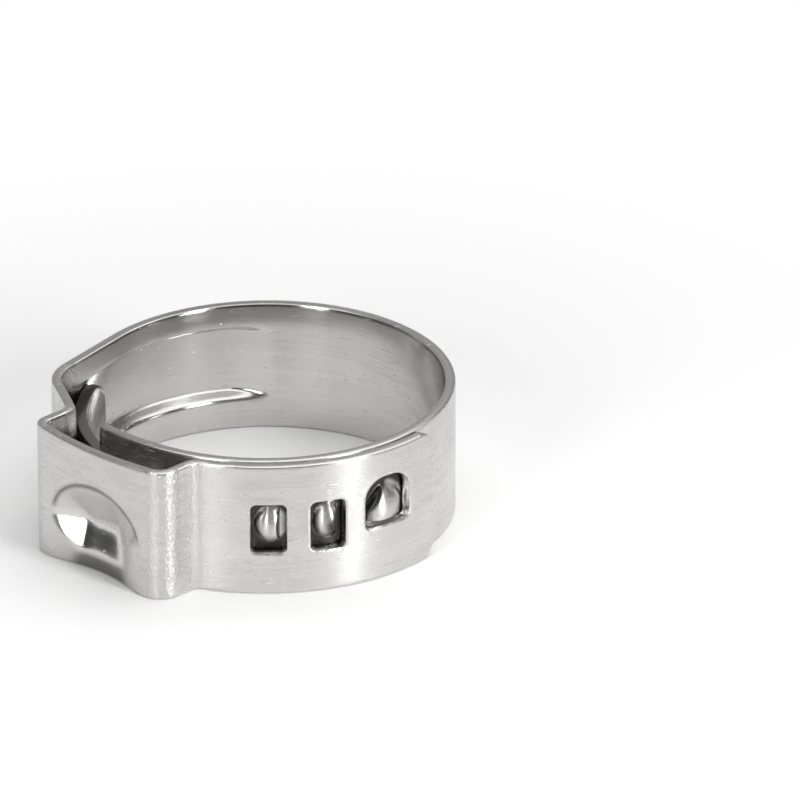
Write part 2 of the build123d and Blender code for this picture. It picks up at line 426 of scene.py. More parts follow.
@dataclass
class Blank:
    """The strip cut out flat: a fine sheet of quads that follows every outline, with rounded rims.

    The sheet's open edge is drawn onto the outline in a few snaps, and its rims are made round by
    a few cuts. Its columns stand closer where the strip is scooped, cut or bent. A band of rows is
    the height where it ends and how many rows it has, and the top rows are above the last band.
    """

    line: StripLine
    width: float = 7.0
    rim_round: float = 0.1
    rim_reach: float = 0.4
    rim_cuts: int = 4
    snaps: int = 4
    shoulder_angle: float = 625.5
    shoulder_round: float = 0.4
    outer_end_round: float = 1.1
    tongue_low: float = 1.95
    tongue_high: float = 5.4
    tongue_round: float = 1.5
    tongue_overlap: float = 2.0
    windows: tuple[Window, ...] = (Window(317.4), Window(334.4), Gate(353.6))
    scooped_inner: tuple[float, float] = (311.0, 363.0)
    groove_end: tuple[float, float] = (490.0, 513.0)
    scooped_outer: tuple[float, float] = (310.5, 362.5)
    row_bands: tuple[tuple[float, int], ...] = (
        (1.05, 6),
        (2.1, 14),
        (3.05, 9),
        (3.09, 1),
        (5.3, 20),
        (5.75, 7),
        (6.3, 5),
    )
    top_rows: int = 5

    def __post_init__(self) -> None:
        """Lay out the shapes that the strip is made of, and those that are cut out of it."""
        shoulder = self.line.station("chin", self.shoulder_angle)
        tip = (self.tongue_round,) * 2
        shoulders = (self.shoulder_round,) * 2
        corners = (self.outer_end_round,) * 2
        # The tongue runs on under the shoulders, so that no gap is left between them.
        tongue_end = (shoulder + self.tongue_overlap, self.tongue_high)
        strip_end = (self.line.length, self.width)
        self.solids = [
            RoundedBox((0.0, self.tongue_low), tongue_end, tip, (0.0, 0.0)),
            RoundedBox((shoulder, 0.0), strip_end, shoulders, corners),
        ]
        self.holes = [window.outline(self.line) for window in self.windows]

    def distance(self, along: np.ndarray, across: np.ndarray) -> np.ndarray:
        """Give each place's distance from the cut edge, negative in the metal."""
        metal = np.minimum.reduce([shape.distance(along, across) for shape in self.solids])
        cut = np.maximum.reduce([-shape.distance(along, across) for shape in self.holes])
        return np.maximum(metal, cut)

    def slope(self, along: np.ndarray, across: np.ndarray) -> np.ndarray:
        """Give the direction in which the distance grows fastest, at each place.

        Args:
            along: Places along the strip.
            across: Places across it.

        Returns:
            The directions, each of length 1.
        """
        step = 1e-3
        x = self.distance(along + step, across) - self.distance(along - step, across)
        y = self.distance(along, across + step) - self.distance(along, across - step)
        slope = np.stack([x, y], axis=1)
        return slope / np.maximum(np.hypot(x, y), 1e-9)[:, None]

    def columns(self, shears: list[float]) -> np.ndarray:
        """Give the places along the strip of the blank's columns.

        Args:
            shears: Places that must have a column.

        Returns:
            The places in rising order.
        """
        line = self.line
        scooped = [line.station("round", angle) for angle in self.scooped_inner]
        groove = [line.station("round", angle) for angle in self.groove_end]
        windows = [line.station("outer_layer", angle) for angle in self.scooped_outer]
        stretches = [
            (line.station("chin", self.shoulder_angle), Grain.CLOSE),
            (line.end("chin"), Grain.MIDDLE),
            (scooped[0], Grain.MIDDLE),
            *[(shear, Grain.FINE) for shear in shears],
            (scooped[1], Grain.FINE),
            (groove[0], Grain.OPEN),
            (groove[1], Grain.CLOSE),
            (line.end("round"), Grain.OPEN),
            (line.end("flank"), Grain.MIDDLE),
            (line.end("corner"), Grain.MIDDLE),
            (line.end("approach"), Grain.CLOSE),
            (line.end("neck"), Grain.FINE),
            (line.end("left_leg"), Grain.CLOSE),
            (line.end("left_bend"), Grain.FINE),
            (line.end("crown"), Grain.CLOSE),
            (line.end("right_bend"), Grain.FINE),
            (line.end("right_leg"), Grain.CLOSE),
            (line.end("foot"), Grain.FINE),
            (windows[0], Grain.MIDDLE),
            (windows[1], Grain.FINE),
            (line.length, Grain.CLOSE),
        ]
        places = [0.0]
        for end, grain in stretches:
            count = max(1, math.ceil((end - places[-1]) / grain.value))
            places.extend(np.linspace(places[-1], end, count + 1)[1:])
        return np.array(places)

    def rows(self) -> np.ndarray:
        """Give the heights of the blank's rows, closer where something is pressed.

        Returns:
            The heights in rising order.
        """
        heights = [0.0]
        for end, count in (*self.row_bands, (self.width, self.top_rows)):
            heights.extend(np.linspace(heights[-1], end, count + 1)[1:])
        return np.array(heights)

    def cut(self, shears: list[float]) -> bpy.types.Object:
        """Cut out the blank and give it its thickness.

        Args:
            shears: Places along the strip that must have a column.

        Returns:
            The flat strip, in millimetres, with its outer side up.
        """
        columns = self.columns(shears)
        rows = self.rows()
        across = len(rows) - 1
        along = len(columns) - 1
        bpy.ops.object.select_all(action="DESELECT")
        bpy.ops.mesh.primitive_grid_add(x_subdivisions=along, y_subdivisions=across, size=1.0)
        blank = bpy.context.active_object
        blank.name = "clamp_strip"
        blank.data.name = "clamp_strip"
        spots = read_spots(blank)
        spots[:, 0] = columns[np.rint((spots[:, 0] + 0.5) * along).astype(int)]
        spots[:, 1] = rows[np.rint((spots[:, 1] + 0.5) * across).astype(int)]
        write_spots(blank, spots)

        middles = read_all(blank.data.polygons, "center", 3)
        waste = self.distance(middles[:, 0], middles[:, 1]) > 0.0
        select(blank, Part.FACES, waste)
        bpy.ops.object.mode_set(mode="EDIT")
        bpy.ops.mesh.delete(type="FACE")
        bpy.ops.object.mode_set(mode="OBJECT")
        self._snap(blank)
        self._thicken(blank)
        return blank

    def _snap(self, blank: bpy.types.Object) -> None:
        """Draw the sheet's open edge onto the outline.

        Args:
            blank: The sheet, which is changed.
        """
        mesh = blank.data
        sides = read_all(mesh.loops, "edge_index", 1, int)[:, 0]
        open_edges = np.flatnonzero(np.bincount(sides, minlength=len(mesh.edges)) == 1)
        rim = np.unique(read_all(mesh.edges, "vertices", 2, int)[open_edges])
        spots = read_spots(blank)
        for _ in range(self.snaps):
            x, y = spots[rim, 0], spots[rim, 1]
            spots[rim, :2] -= self.distance(x, y)[:, None] * self.slope(x, y)
        write_spots(blank, spots)

    def _thicken(self, blank: bpy.types.Object) -> None:
        """Give the sheet its thickness about its middle, and round its rims.

        Args:
            blank: The sheet, which is changed.
        """
        thickness = self.line.thickness
        solidify = blank.modifiers.new("thickness", "SOLIDIFY")
        solidify.thickness = thickness
        solidify.offset = 0.0
        bpy.ops.object.modifier_apply(modifier=solidify.name)

        heights = read_spots(blank)[:, 2]
        ends = read_all(blank.data.edges, "vertices", 2, int)
        upright = np.abs(heights[ends[:, 0]] - heights[ends[:, 1]]) > thickness / 2
        select(blank, Part.EDGES, upright)
        bpy.ops.object.mode_set(mode="EDIT")
        bpy.ops.mesh.subdivide(number_cuts=self.rim_cuts)
        bpy.ops.object.mode_set(mode="OBJECT")

        spots = read_spots(blank)
        half = thickness / 2
        level = np.rint((spots[:, 2] / thickness + 0.5) * (self.rim_cuts + 1)).astype(int)
        turn = self.rim_round * (1 - math.sqrt(0.5))
        low = [-half, turn - half, self.rim_round - half]
        heights = np.array([*low, half - self.rim_round, half - turn, half])
        insets = np.array([self.rim_round, turn, 0.0, 0.0, turn, self.rim_round])
        depth = np.maximum(-self.distance(spots[:, 0], spots[:, 1]), 0.0)
        share = np.clip(1.0 - depth / self.rim_reach, 0.0, 1.0)
        slope = self.slope(spots[:, 0], spots[:, 1])
        spots[:, :2] -= slope * (insets[level] * share)[:, None]
        spots[:, 2] = heights[level]
        write_spots(blank, spots)


def read_all(
    parts: bpy.types.bpy_prop_collection, name: str, width: int, kind: type = float
) -> np.ndarray:
    """Give one property of all the vertices, edges, corners or faces of a mesh.

    Args:
        parts: The vertices, edges, corners or faces.
        name: The property's name.
        width: How many numbers it has.
        kind: Whether the numbers are whole.

    Returns:
        A row for each of them.
    """
    values = np.empty(len(parts) * width, dtype=kind)
    parts.foreach_get(name, values)
    return values.reshape(-1, width)


def read_spots(item: bpy.types.Object) -> np.ndarray:
    """Give the places of a mesh's vertices."""
    return read_all(item.data.vertices, "co", 3)


def write_spots(item: bpy.types.Object, spots: np.ndarray) -> None:
    """Set the places of a mesh's vertices."""
    item.data.vertices.foreach_set("co", spots.ravel())
    item.data.update()


class Part(Enum):
    """What is selected in a mesh, with edit mode's own switches for it."""

    EDGES = (False, True, False)
    FACES = (False, False, True)


def select(item: bpy.types.Object, part: Part, chosen: np.ndarray) -> None:
    """Select these edges or faces of a mesh and nothing else.

    Args:
        item: The mesh's object.
        part: Whether edges or faces are selected.
        chosen: True for each one that is.
    """
    bpy.context.tool_settings.mesh_select_mode = part.value
    mesh = item.data
    kinds = {None: mesh.vertices, Part.EDGES: mesh.edges, Part.FACES: mesh.polygons}
    for kind, parts in kinds.items():
        marks = chosen if kind is part else np.zeros(len(parts), dtype=bool)
        parts.foreach_set("select", marks)


# ---------------------------------------------------------------- pressing and bending

# How far the outer and the inner side are pushed outwards, at each place.
Sides = tuple[np.ndarray, np.ndarray]


@dataclass
class Groove:
    """The groove for the tongue, pressed outwards: full on the round side, dying away on the flank.

    Args:
        line: The strip's line.
        start_angle: Where its blind end begins.
        low: The height of its lower edge.
        high: The height of its upper edge.
        wall: How far its sides slope, inside.
        border: How much wider its back is than its mouth.
        back_wall: How far the sides of its back slope.
        ramp: How far its blind end slopes.
        edge_round: How softly its sides begin, as a share of their slope.
    """

    line: StripLine
    start_angle: float = 493.6
    low: float = 1.68
    high: float = 5.7
    wall: float = 0.3
    border: float = 0.4
    back_wall: float = 0.5
    ramp: float = 2.6
    edge_round: float = 0.22

    def heights(self, along: np.ndarray, across: np.ndarray) -> Sides:
        """Give how far the outer and the inner side are pushed outwards.

        Args:
            along: Places along the strip.
            across: Places across it.

        Returns:
            The heights of the outer and of the inner side.
        """
        thickness = self.line.thickness
        depth = thickness + self.line.layer_gap
        past = np.maximum(along - self.line.starts["flank"], 0.0)
        inner = self._left(past, self.line.bow_radius, depth)
        outer = self._left(past, self.line.bow_radius + thickness, depth)
        inside = self._fill(along, across, 0.0, self.wall)
        return outer * self._fill(along, across, self.border, self.back_wall), inner * inside

    def _fill(
        self, along: np.ndarray, across: np.ndarray, border: float, wall: float
    ) -> np.ndarray:
        """Give the share of the full depth reached at each place inside the groove's outline.

        Args:
            along: Places along the strip.
            across: Places across it.
            border: How much wider than the mouth this side is.
            wall: How far the long sides slope.

        Returns:
            The shares, from 0 to 1.
        """
        inside = np.minimum(across - self.low, self.high - across) + border
        side = np.minimum(soft_edge(inside / wall, self.edge_round), 1.0)
        start = self.line.station("round", self.start_angle)
        share = side * smooth_step((along - start + border) / self.ramp)
        share *= smooth_step((self.line.end("flank") - along) / wall)
        return np.where(share > NEGLIGIBLE, share, 0.0)

    @staticmethod
    def _left(past: np.ndarray, radius: float, depth: float) -> np.ndarray:
        """Give the depth that is left on the flank, which turns away from the tongue's bow."""
        reach = np.maximum((radius + depth) ** 2 - past**2, 0.0)
        return np.clip(np.sqrt(reach) - radius, 0.0, depth)


@dataclass
class Scoop:
    """One scoop that a window hooks on: a dome with one side sheared off.

    Args:
        middle: Its ball's middle along the strip.
        z: Its ball's middle across the strip.
        ball: The ball's radius.
        squeeze: How much the ball is squeezed along the strip.
        rise: How far it stands out.
        wall: Its wall's thickness.
        thinning: How much thinner the wall is at its top.
        shear: How far from its middle the foot of the sheared end lies.
        lean: How far the top of the sheared end leans back, for each millimetre of height.
        least_lean: How far back the top of the sheared end always stands.
        root: Where the columns that lean back begin, from its middle.
        downwards: Whether it is sheared along its lower side.
        slant: How far from its middle it falls away towards its upper left.
        slant_angle: How steeply that way points up, in degrees.
        fall: How far it takes to fall away.
    """

    middle: float
    z: float = 3.6
    ball: float = 1.05
    squeeze: float = 0.8
    rise: float = 0.62
    wall: float = 0.35
    thinning: float = 0.02
    shear: float = 0.45
    lean: float = 0.37
    least_lean: float = 0.03
    root: float = -0.4
    downwards: bool = False
    slant: float = math.inf
    slant_angle: float = 40.0
    fall: float = 0.22

    def past_slant(self, along: np.ndarray, across: np.ndarray) -> np.ndarray:
        """Give how far each flat place lies past the slant."""
        turn = math.radians(self.slant_angle)
        level = (self.middle - along) * math.cos(turn)
        return level + (across - self.z) * math.sin(turn) - self.slant

    def past(self, along: np.ndarray, across: np.ndarray) -> np.ndarray:
        """Give how far each flat place lies past the scoop's outline."""
        reach = np.hypot((along - self.middle) / self.squeeze, across - self.z)
        return np.maximum(reach - self.ball, self.past_slant(along, across))

    def _cap(self, x: np.ndarray, y: np.ndarray, radius: float, top: float) -> np.ndarray:
        """Give a ball cap's height, never under the sheet."""
        inside = np.maximum(radius**2 - (x / self.squeeze) ** 2 - y**2, 0.0)
        return np.maximum(np.sqrt(inside) - radius + top, 0.0)

    def heights(self, along: np.ndarray, across: np.ndarray) -> Sides:
        """Give how far the outer and the inner side are pushed outwards.

        Args:
            along: Places along the strip.
            across: Places across it.

        Returns:
            The heights of the outer and of the inner side.
        """
        x = along - self.middle
        y = across - self.z
        outer = self._cap(x, y, self.ball, self.rise)
        inner = self._cap(x, y, self.ball - self.wall / 2, self.rise - self.thinning)
        kept = fade(self.past_slant(along, across), 0.0, self.fall)
        sheared = (y < self.shear + HAIR) if self.downwards else (x > self.shear - HAIR)
        return np.where(sheared, 0.0, outer * kept), np.where(sheared, 0.0, inner * kept)

    def lean_back(self, spots: np.ndarray) -> None:
        """Draw the columns by a shear across the strip back to its leaning top.

        Args:
            spots: The blank's vertices, which are moved.
        """
        if self.downwards:
            return
        y = spots[:, 1] - self.z
        x = spots[:, 0] - self.middle
        foot = np.full(len(y), self.shear - self.lean * self.rise)
        height = self._cap(foot, y, self.ball, self.rise)
        top = self.shear - np.maximum(self.lean * height, self.least_lean)
        mine = (x > self.root) & (x < self.shear - HAIR) & (np.abs(y) < self.ball)
        stretch = (top - self.root) / (self.shear - Grain.FINE.value - self.root)
        spots[mine, 0] = self.middle + self.root + (x[mine] - self.root) * stretch[mine]


@dataclass
class GateScoop(Scoop):
    """The scoop in the gate: a wider one, sheared along its lower side and slanting at its left."""

    z: float = 3.65
    ball: float = 1.47
    squeeze: float = 1.0
    shear: float = -0.6
    lean: float = 0.0
    downwards: bool = True
    slant: float = 0.7


@dataclass
class Dimple:
    """The pocket punched into the ear's crown, with the shallow hollow that it draws in below it.

    Args:
        line: The strip's line.
        middle: Where its middle lies along the crown, from the ear's middle.
        spring: The height from which its sides close to the arch.
        top: The height of the arch.
        left: How far it reaches to the left of its middle.
        right: How far it reaches to the right.
        left_slope: How steeply its left side goes in.
        left_lean: How far its left side leans, for each millimetre of height.
        right_slope: How steeply its right side goes in.
        right_lean: How far its right side leans, for each millimetre of height.
        crease: The height of the crease where it is deepest.
        crease_depth: Its depth there.
        floor_slope: How fast it gets shallower below the crease.
        floor_drop: How far below the crease its floor is the only side that counts.
        least_rise: The least height of its back, where the arch comes down to the crease.
        crease_round: How rounded its creases are.
        edge_round: How rounded its edge is.
        hollow: The depth of the hollow at the strip's lower edge.
        hollow_reach: How far the hollow reaches each way along the crown.
        hollow_height: The height at which it has died away.
        hollow_power: How quickly it gets shallower along the crown.
        blend: How sharply the pocket and the hollow meet.
        reach: The largest Y that counts as the crown.
    """

    line: StripLine
    middle: float = 0.35
    spring: float = 2.5
    top: float = 5.15
    left: float = 3.35
    right: float = 2.8
    left_slope: float = 0.72
    left_lean: float = 0.75
    right_slope: float = 0.56
    right_lean: float = 0.28
    crease: float = 2.5
    crease_depth: float = 1.28
    floor_slope: float = 0.42
    floor_drop: float = 1.0
    least_rise: float = 0.4
    crease_round: float = 0.1
    edge_round: float = 0.07
    hollow: float = 0.78
    hollow_reach: float = 3.3
    hollow_height: float = 2.4
    hollow_power: float = 1.3
    blend: float = 4.0
    reach: float = -11.0

    def heights(self, along: np.ndarray, across: np.ndarray) -> Sides:
        """Give how far the outer and the inner side are pushed outwards, which is negative.

        Args:
            along: Places along the strip.
            across: Places across it.

        Returns:
            The heights of the outer and of the inner side.
        """
        depth = self.depth(along, across)
        return -depth, -depth

    def depth(self, along: np.ndarray, across: np.ndarray) -> np.ndarray:
        """Give how deep the pocket or the hollow is at each place.

        Args:
            along: Places along the strip.
            across: Places across it.

        Returns:
            The depths.
        """
        points, _ = self.line.lay(along)
        x = points[:, 0] - self.middle
        height = self.top - self.spring
        closing = np.sqrt(1.0 - np.clip((across - self.spring) / height, 0.0, 1.0) ** 2)
        below = np.minimum(across - self.spring, 0.0)
        half = np.where(x < 0, self.left, self.right)
        arch = self.spring + height * np.sqrt(np.maximum(1.0 - (x / half) ** 2, 0.0))
        rise = np.maximum(arch - self.crease, self.least_rise)
        # Each side of the pocket is a slope, and the shallowest of them counts at each place.
        far = 9.0
        clear = np.where(across < self.crease - self.floor_drop, far, 0.0)
        slopes = [
            self.left_slope * (x + self.left * closing + self.left_lean * below),
            self.right_slope * (self.right * closing + self.right_lean * below - x),
            self.crease_depth * (arch - across) / rise + clear,
            self.crease_depth - self.floor_slope * (self.crease - across),
        ]
        least = sum(np.exp(-np.clip(slope, -2.0, far) / self.crease_round) for slope in slopes)
        pocket = soft_edge(-np.log(least) * self.crease_round, self.edge_round)
        bowed = np.maximum(1.0 - (points[:, 0] / self.hollow_reach) ** 2, 0.0)
        hollow = self.hollow * bowed**self.hollow_power * fade(across, 0.0, self.hollow_height)
        depth = (pocket**self.blend + hollow**self.blend) ** (1.0 / self.blend)
        return np.where((points[:, 1] < self.reach) & (depth > NEGLIGIBLE), depth, 0.0)


@dataclass
class WearAndPaintedShade:
    """Where the strip is worked or smooth, and where shade is painted into its colour, told by its
    flat places.

    A share is how strong a mark is, and a fade is the distance over which it grows or dies away. A
    pair is the place where that begins, and the distance. Depths are the pocket's own.
    """

    line: StripLine
    holes: list[RoundedBox]
    groove: Groove
    dimple: Dimple
    scoops: list[Scoop]
    # Worked: the bends, the cut edges, the pocket's crease and the line along its arch.
    bends: tuple[str, ...] = ("corner", "neck", "left_bend", "right_bend", "foot")
    bend_fade: float = 0.35
    cut_share: float = 0.6
    cut_fade: float = 0.5
    crease_lift: float = 0.05
    crease_width: float = 0.22
    crease_depths: tuple[float, float] = (0.6, 0.3)
    arch_share: float = 0.7
    arch_depth: float = 0.1
    arch_width: float = 0.06
    arch_heights: tuple[float, float] = (2.7, 0.6)
    # Smooth: the inner side and the pocket, and less so the scoops.
    inner_share: float = 0.6
    pocket_fade: float = 0.3
    scoop_share: float = 0.9
    scoop_fade: float = 0.2
    # Painted shade: darker colour on the tongue, in the gaps round the scoops, along the arch, on
    # the pocket's lower lip and in a band along the inner side above the groove.
    tongue_share: float = 0.7
    tongue_fade: float = 0.8
    gap_fade: float = 0.2
    gap_reach: tuple[float, float] = (1.4, 0.5)
    arch_shade_share: float = 0.8
    lip_share: float = 0.7
    lip_depths: tuple[float, float] = (0.35, 0.25)
    lip_heights: tuple[float, float] = (0.75, 0.2)
    # Painted shade: a darker band along the inner side above the groove, between these angles.
    shade_band_angles: tuple[float, float] = (468.0, 524.0)
    shade_band_fade: float = 3.0
    shade_band_edge_fade: float = 0.7
    shade_band_drop: float = 0.1
    shade_band_share: float = 0.42

    def worked(self, flat: np.ndarray) -> np.ndarray:
        """Give how hard the metal was bent or pressed.

        Args:
            flat: The flat places.

        Returns:
            A share from 0 to 1 at each.
        """
        along, across = flat[:, 0], flat[:, 1]
        worked = self.arch_share * self._arch(flat)
        for name in self.bends:
            low, high = self.line.starts[name], self.line.end(name)
            outside = np.maximum(np.maximum(low - along, along - high), 0.0)
            worked = np.maximum(worked, fade(outside, 0.0, self.bend_fade))
        for hole in self.holes:
            edge = hole.distance(along, across)
            worked = np.maximum(worked, self.cut_share * fade(edge, 0.0, self.cut_fade))
        start, over = self.crease_depths
        deep = np.clip((self.dimple.depth(along, across) - start) / over, 0.0, 1.0)
        off_crease = (across - self.dimple.crease - self.crease_lift) / self.crease_width
        return np.maximum(worked, deep * np.exp(-(off_crease**2)))

    def _arch(self, flat: np.ndarray) -> np.ndarray:
        """Give a line along the pocket's arch, from 0 to 1: metal worked by the punch, and painted
        shade.
        """
        depth = self.dimple.depth(flat[:, 0], flat[:, 1])
        line = np.exp(-(((depth - self.arch_depth) / self.arch_width) ** 2))
        return line * grow(flat[:, 1], *self.arch_heights)

    def smooth(self, flat: np.ndarray) -> np.ndarray:
        """Give how smooth the metal is.

        Args:
            flat: The flat places.

        Returns:
            A share at each, which is 1 in the pocket and less than 0 on the scoops.
        """
        along, across = flat[:, 0], flat[:, 1]
        smooth = np.where(flat[:, 2] < 0, self.inner_share, 0.0)
        pocket = grow(self.dimple.depth(along, across), 0.0, self.pocket_fade)
        smooth = np.maximum(smooth, pocket)
        for scoop in self.scoops:
            smooth -= self.scoop_share * fade(scoop.past(along, across), 0.0, self.scoop_fade)
        return smooth

    def grimy(self, flat: np.ndarray) -> np.ndarray:
        """Give how much shade is painted into the metal's colour.

        Args:
            flat: The flat places.

        Returns:
            A share from 0 to 1 at each.
        """
        along, across = flat[:, 0], flat[:, 1]
        # Painted shade on the tongue, where it lies under the ear.
        tongue_end = self.line.end("tongue") - self.tongue_fade
        tongue = self.tongue_share * fade(along, tongue_end, self.tongue_fade)
        # Painted shade along the pocket's arch and on its lower lip.
        outer = np.maximum(self.arch_shade_share * self._arch(flat), self.lip_share * self._lip(flat))
        for scoop in self.scoops:
            past = scoop.past(along, across)
            gap = grow(past, -self.gap_fade, self.gap_fade) * fade(past, *self.gap_reach)
            outer = np.maximum(outer, gap)
        # Painted shade in a band along the inner side, above the groove's upper edge.
        low, high = (self.line.station("round", angle) for angle in self.shade_band_angles)
        shade_band = grow(along, low, self.shade_band_fade) * fade(along, high, self.shade_band_fade)
        shade_band *= grow(across, self.groove.high - self.shade_band_drop, self.shade_band_edge_fade)
        return np.maximum(tongue, np.where(flat[:, 2] > 0, outer, self.shade_band_share * shade_band))

    def _lip(self, flat: np.ndarray) -> np.ndarray:
        """Give the pocket's lower lip, from 0 to 1."""
        depth = self.dimple.depth(flat[:, 0], flat[:, 1])
        return grow(depth, *self.lip_depths) * fade(flat[:, 1], *self.lip_heights)


@dataclass
class ClampBand:
    """The whole clamp: one strip, cut out, pressed and bent, with its rims rolled a little.

    The grain's map, which turns the brushing along the strip, grows by 1 for each grain length.
    """

    line: StripLine = field(default_factory=StripLine)
    scoop_angles: tuple[float, ...] = (318.0, 335.2)
    gate_scoop_angle: float = 353.4
    edge_roll: float = 0.06
    edge_reach: float = 1.2
    smooth_angle: float = 38.0
    grain_length: float = 10.0

    def __post_init__(self) -> None:
        """Lay out the blank, everything that is pressed in it, its wear and its painted shade."""
        self.blank = Blank(self.line)
        self.groove = Groove(self.line)
        self.dimple = Dimple(self.line)
        self.scoops = [Scoop(self.line.station("round", angle)) for angle in self.scoop_angles]
        self.scoops.append(GateScoop(self.line.station("round", self.gate_scoop_angle)))
        self.wear_and_shade = WearAndPaintedShade(self.line, self.blank.holes, self.groove, self.dimple, self.scoops)

    def build(self) -> bpy.types.Object:
        """Make the clamp's mesh in the frame.

        Returns:
            The finished strip.
        """
        shears = [scoop.middle + scoop.shear for scoop in self.scoops if not scoop.downwards]
        strip = self.blank.cut(shears)
        log.info("blank cut: %d faces", len(strip.data.polygons))
        flat = read_spots(strip)
        self._press(strip)
        log.info("groove, scoops and dimple pressed")
        self._bend(strip)
        self._note(strip, flat)
        bpy.ops.object.mode_set(mode="EDIT")
        bpy.ops.mesh.select_all(action="SELECT")
        bpy.ops.mesh.normals_make_consistent(inside=False)
        bpy.ops.object.mode_set(mode="OBJECT")
        bpy.ops.object.shade_smooth_by_angle(angle=math.radians(self.smooth_angle))
        return strip

    def _press(self, strip: bpy.types.Object) -> None:
        """Push the flat strip's two sides outwards or inwards.

        Args:
            strip: The flat strip, which is changed.
        """
        spots = read_spots(strip)
        for scoop in self.scoops:
            scoop.lean_back(spots)
        along, across = spots[:, 0].copy(), spots[:, 1].copy()
        outer = np.zeros(len(spots))
        inner = np.zeros(len(spots))
        for pressed in (self.groove, self.dimple, *self.scoops):
            outer_side, inner_side = pressed.heights(along, across)
            outer += outer_side
            inner += inner_side
        rim = np.minimum(across, self.blank.width - across)
        inner += self.edge_roll * np.clip(1.0 - rim / self.edge_reach, 0.0, 1.0) ** 2
        share = spots[:, 2] / self.line.thickness + 0.5
        spots[:, 2] += inner + (outer - inner) * share
        write_spots(strip, spots)

    def _bend(self, strip: bpy.types.Object) -> None:
        """Bend the pressed strip along its line, and bring it to metres.

        Args:
            strip: The pressed strip, which is changed.
        """
        spots = read_spots(strip)
        points, outwards = self.line.lay(spots[:, 0])
        plan = points + outwards * spots[:, 2:3]
        bent = np.column_stack([plan, spots[:, 1]]) * MM
        write_spots(strip, bent)

    def _note(self, strip: bpy.types.Object, flat: np.ndarray) -> None:
        """Keep what the finish reads: each vertex's flat place, its wear and painted shade, and the
        grain's map.

        Args:
            strip: The bent strip.
            flat: The vertices' places before pressing, in millimetres.
        """
        mesh = strip.data
        place = mesh.attributes.new(Note.PLACE.value, "FLOAT_VECTOR", "POINT")
        place.data.foreach_set("vector", flat.ravel())
        wear_and_shade = {
            Note.WORKED: self.wear_and_shade.worked(flat),
            Note.SMOOTH: self.wear_and_shade.smooth(flat),
            # Painted shade: how far the colour is darkened to stand in for shade.
            Note.GRIMY: self.wear_and_shade.grimy(flat),
        }
        for note, shares in wear_and_shade.items():
            kept = mesh.attributes.new(note.value, "FLOAT", "POINT")
            kept.data.foreach_set("value", shares)
        corners = read_all(mesh.loops, "vertex_index", 1, int)[:, 0]
        layer = mesh.uv_layers.new(name=Note.GRAIN.value)
        layer.data.foreach_set("uv", (flat[corners, :2] / self.grain_length).ravel())


# ---------------------------------------------------------------- finish


class Note(Enum):
    """What the strip's mesh keeps for its finish."""

    PLACE = "flat_place"
    WORKED = "worked"
    # The share of shade painted into the colour.
    SMOOTH = "smooth"
    GRIMY = "grimy"
    GRAIN = "strip_grain"


class Mark(Enum):
    """The marks in the metal: how many to a millimetre each way, and their finer layers."""

    BRUSHING = (0.22, 13.0, 3.0, 3.0)
    STREAKS = (0.09, 6.0, 1.0, 2.0)
    SCRATCHES = (0.6, 9.0, 1.0, 1.0)
    PITS = (3.4, 5.2, 3.0, 1.0)
    ROUGHING = (9.0, 5.0, 9.0, 2.0)
    CLOUDS = (0.5, 0.8, 0.5, 2.0)


# What goes into a node's socket: another node's socket, or a value.
Feed = bpy.types.NodeSocket | float | tuple[float, ...]


